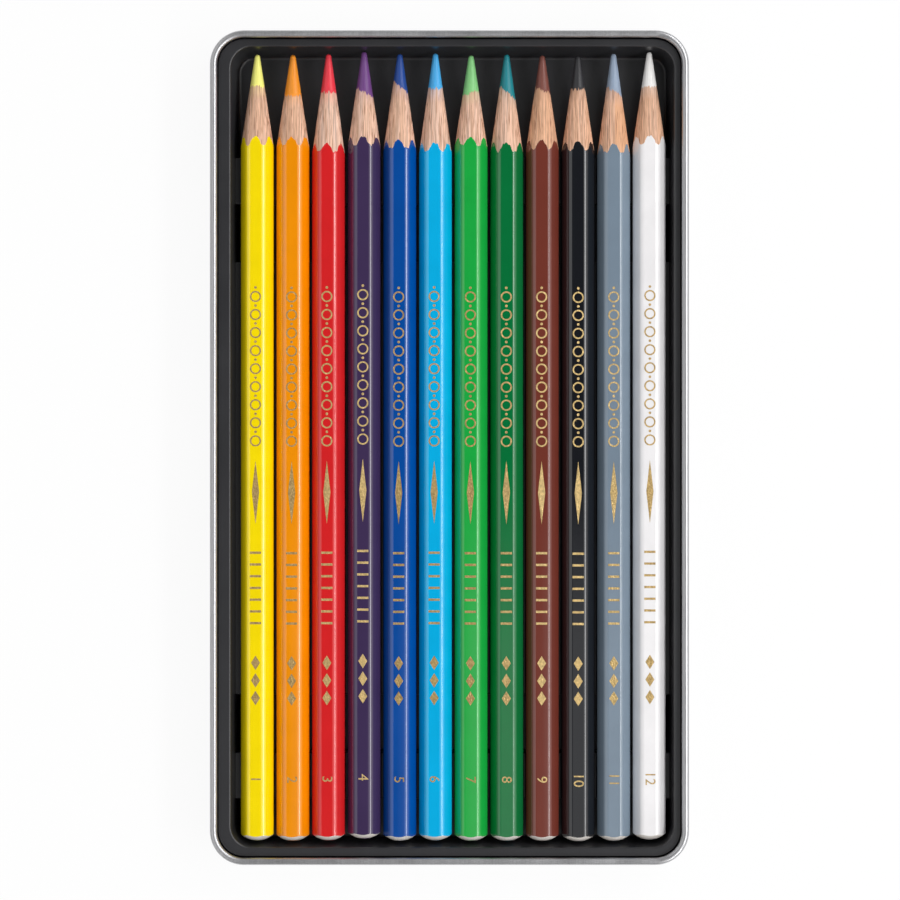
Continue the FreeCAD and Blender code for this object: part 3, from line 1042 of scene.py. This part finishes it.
class PENCILSET_OT_stamping(bpy.types.Operator):
    """Models the gold foil on the upper flats: rings, a spear, bars, lozenges and the place in the row"""
    bl_idname = "pencil_set.stamping"
    bl_label = "Stamping"

    def execute(self, context):
        sizes = settings().stamping
        level = mm(settings().pencil.flats) / 2 - mm(sizes.sunk)
        thick = mm(sizes.height) + mm(sizes.sunk)
        pattern = self.ornament(sizes, level, thick)
        for number, pencil in enumerate(PENCILS, 1):
            axis, butt_y, _ = pencil_box(pencil)
            marks = duplicate(pattern, "marks")
            digits = self.digits(sizes, str(number), level, thick)
            only(marks)
            digits.select_set(True)
            bpy.ops.object.join()
            bring_to_place(marks, (axis.x, butt_y, axis.z), (0, -math.radians(pencil.rolled), 0))
            hand_over(marks, pencil.name + "_stamping", pencil.name + "_pencil", gold_foil(pencil, sizes))
        bpy.data.objects.remove(pattern)
        return {"FINISHED"}

    def ornament(self, sizes, level, thick):
        """The marks that all the pencils share, with the butt at the origin."""
        clear_selection()
        bpy.ops.mesh.primitive_plane_add(size=1, location=(0, 0, 0))
        piece = bpy.context.object
        bpy.ops.object.mode_set(mode="EDIT")
        bpy.ops.mesh.delete(type="VERT")

        def stretch(y, wide, long):
            bpy.ops.transform.resize(value=(mm(wide), mm(long), 1), center_override=(0, y, level))

        def shape(y, wide, long, vertices):
            bpy.ops.mesh.primitive_circle_add(
                vertices=vertices, radius=0.5, fill_type="NGON", location=(0, y, level))
            stretch(y, wide, long)

        def ring(y):
            shape(y, sizes.ring_diameter, sizes.ring_diameter, vertices=24)
            bpy.ops.mesh.inset(thickness=mm(sizes.ring_stroke))
            bpy.ops.mesh.delete(type="FACE")

        def bar(y):
            bpy.ops.mesh.primitive_plane_add(size=1, location=(0, y, level))
            stretch(y, sizes.bar_width, sizes.bar_stroke)

        for index in range(sizes.rings):
            y = mm(sizes.ring_place + sizes.ring_pitch * index)
            ring(y)
            shape(y + mm(sizes.ring_pitch) / 2, sizes.dot_diameter, sizes.dot_diameter, vertices=12)
        shape(mm(sizes.spear_place), sizes.spear_width, sizes.spear_length, vertices=4)
        for index in range(sizes.bars):
            bar(mm(sizes.bar_place + sizes.bar_pitch * index))
        for index in range(sizes.lozenges):
            y = mm(sizes.lozenge_place + sizes.lozenge_pitch * index)
            shape(y, sizes.lozenge_width, sizes.lozenge_length, vertices=4)
        select_everything()
        extrude(z=thick)
        select_everything()
        bpy.ops.mesh.normals_make_consistent(inside=False)
        leave_edit()
        return piece

    def digits(self, sizes, text, level, thick):
        """A number that reads from the point towards the butt."""
        clear_selection()
        bpy.ops.object.text_add(
            location=(0, mm(sizes.number_place), level + thick / 2), rotation=(0, 0, math.radians(-90)))
        piece = bpy.context.object
        piece.data.body = text
        piece.data.size = mm(sizes.number_size)
        piece.data.extrude = thick / 2
        piece.data.align_x = "CENTER"
        piece.data.align_y = "CENTER"
        bpy.ops.object.convert(target="MESH")
        settle()
        edit(piece)
        close_shell()
        leave_edit()
        return piece


class PENCILSET_OT_stage(bpy.types.Operator):
    """Sets a pale floor, a light tent with a strip light on each side, and a camera straight above"""
    bl_idname = "pencil_set.stage"
    bl_label = "Stage"

    FLOOR_GLOW = 0.92     # how much of the floor the camera sees as plain white; the rest keeps the shadow
    FRONT_PANEL = 0.56    # brightness of the tent's panel over the butts
    RIGHT_PANEL = 1.2     # brightness of the tent's panel on the right
    SENSOR_MM = 36.0      # width of the camera's sensor

    # Height in the tent, from 0 at the horizon to 1 straight up, and its brightness there. The camera's
    # dark port is at the top.
    TENT_LEVELS = (
        (0.0, 0.5), (0.12, 0.46), (0.5, 0.24), (0.8, 0.25), (0.95, 0.26), (0.975, 0.06), (1.0, 0.04))

    def execute(self, context):
        sizes = settings().stage
        self.floor(sizes)
        self.tent(context.scene)
        self.strip_light(sizes, "key", 1, sizes.key_elevation, sizes.key_power, sizes.key_width)
        self.strip_light(sizes, "fill", -1, sizes.fill_elevation, sizes.fill_power, sizes.fill_width)
        self.camera(context, sizes)
        context.scene.view_settings.view_transform = "Standard"
        return {"FINISHED"}

    def floor(self, sizes):
        """A wide pale floor that the camera sees as nearly white."""
        clear_selection()
        bpy.ops.mesh.primitive_plane_add(size=sizes.floor_size)
        floor = bpy.context.object
        floor.name = "floor"
        material, tree, shader, where = new_material("floor")
        cloudy = uneven(tree, where, scale=3, detail=2.0)
        feed(tree, shader.inputs["Base Color"], mixed(tree, cloudy, shaded(sizes.floor, 0.985), sizes.floor))
        feed(tree, shader.inputs["Roughness"], 0.9)
        feed(tree, shader.inputs["Specular IOR Level"], 0.1)
        seen = times(tree, node(tree, "LightPath").outputs["Is Camera Ray"], self.FLOOR_GLOW)
        white = node(tree, "Emission", {"Color": grey(1.0), "Strength": 1.0})
        both = node(tree, "MixShader", {0: seen, 1: shader.outputs[0], 2: white.outputs[0]})
        output = next(n for n in tree.nodes if n.bl_idname == "ShaderNodeOutputMaterial")
        feed(tree, output.inputs["Surface"], both.outputs[0])
        floor.data.materials.append(material)

    def tent(self, scene):
        """Grey, paler towards the horizon, with a bright panel over the butts and another on the right."""
        world = bpy.data.worlds.new("light_tent")
        world.use_nodes = True
        tree = world.node_tree
        tree.nodes.clear()
        direction = node(tree, "TexCoord").outputs["Generated"]
        apart = node(tree, "SeparateXYZ", {0: direction}).outputs
        ramp = node(tree, "ValToRGB", {"Fac": apart["Z"]})
        elements = ramp.color_ramp.elements
        while len(elements) < len(self.TENT_LEVELS):
            elements.new(1.0)
        for element, (height, level) in zip(elements, self.TENT_LEVELS):
            element.position = height
            element.color = grey(level)
        near_edge = mapped(tree, apart["Y"], -0.01, -0.07)
        far_edge = mapped(tree, apart["Y"], -0.32, -0.24)
        left_edge = mapped(tree, apart["X"], -0.14, -0.09)
        front = times(tree, times(tree, near_edge, far_edge), left_edge)
        light = mixed(tree, front, ramp.outputs["Color"], grey(self.FRONT_PANEL))
        inner_edge = mapped(tree, apart["X"], 0.15, 0.3)
        lower_edge = mapped(tree, apart["Z"], 0.25, 0.4)
        light = mixed(tree, times(tree, inner_edge, lower_edge), light, grey(self.RIGHT_PANEL))
        background = node(tree, "Background", {"Color": light, "Strength": 1.0})
        node(tree, "OutputWorld", {"Surface": background.outputs[0]})
        scene.world = world

    def strip_light(self, sizes, name, side, elevation, watts, width):
        """A long soft box beside the tin, facing it, along the pencils."""
        clear_selection()
        where = Vector((side * math.cos(elevation), 0, math.sin(elevation))) * sizes.light_distance
        bpy.ops.object.light_add(
            type="AREA", location=where, rotation=(0, side * (math.pi / 2 - elevation), 0))
        lamp = bpy.context.object
        lamp.name = name
        lamp.data.shape = "RECTANGLE"
        lamp.data.size, lamp.data.size_y = width, sizes.light_length
        lamp.data.energy = watts
        lamp.visible_camera = False

    def camera(self, context, sizes):
        """A camera that looks straight down and shows the set's width at its rim."""
        clear_selection()
        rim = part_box("tin_base")[1].z
        bpy.ops.object.camera_add(
            location=(sizes.camera_aside, sizes.camera_along, sizes.camera_height), rotation=(0, 0, 0))
        camera = bpy.context.object
        camera.name = "camera"
        camera.data.sensor_width = self.SENSOR_MM
        camera.data.lens = self.SENSOR_MM * (sizes.camera_height - rim) / sizes.picture_width
        camera.data.clip_start = 0.01
        context.scene.camera = camera


class PENCILSET_PT_panel(bpy.types.Panel):
    """Lists the pieces of the pencil set"""
    bl_idname = "PENCILSET_PT_panel"
    bl_label = "Pencil set"
    bl_space_type = "VIEW_3D"
    bl_region_type = "UI"
    bl_category = "Pencil set"

    def draw(self, context):
        for operator in OPERATORS:
            self.layout.operator(operator.bl_idname)


OPERATORS = (
    PENCILSET_OT_tin, PENCILSET_OT_liner, PENCILSET_OT_coats, PENCILSET_OT_casings, PENCILSET_OT_leads,
    PENCILSET_OT_stamping, PENCILSET_OT_stage,
)
CLASSES = (
    TinSizes, LinerSizes, PencilSizes, StampingSizes, LacquerColours, LeadColours, StageSizes, PencilSet,
    *OPERATORS, PENCILSET_PT_panel,
)


def register():
    for cls in CLASSES:
        bpy.utils.register_class(cls)
    bpy.types.Scene.pencil_set = bpy.props.PointerProperty(
        type=PencilSet, name="Pencil set", description="Sizes and colours of the pencil set")


def unregister():
    del bpy.types.Scene.pencil_set
    for cls in reversed(CLASSES):
        bpy.utils.unregister_class(cls)


def main():
    register()
    bpy.ops.pencil_set.tin()
    bpy.ops.pencil_set.liner()
    bpy.ops.pencil_set.coats()
    bpy.ops.pencil_set.casings()
    bpy.ops.pencil_set.leads()
    bpy.ops.pencil_set.stamping()
    bpy.ops.pencil_set.stage()


if __name__ == "__main__":
    main()
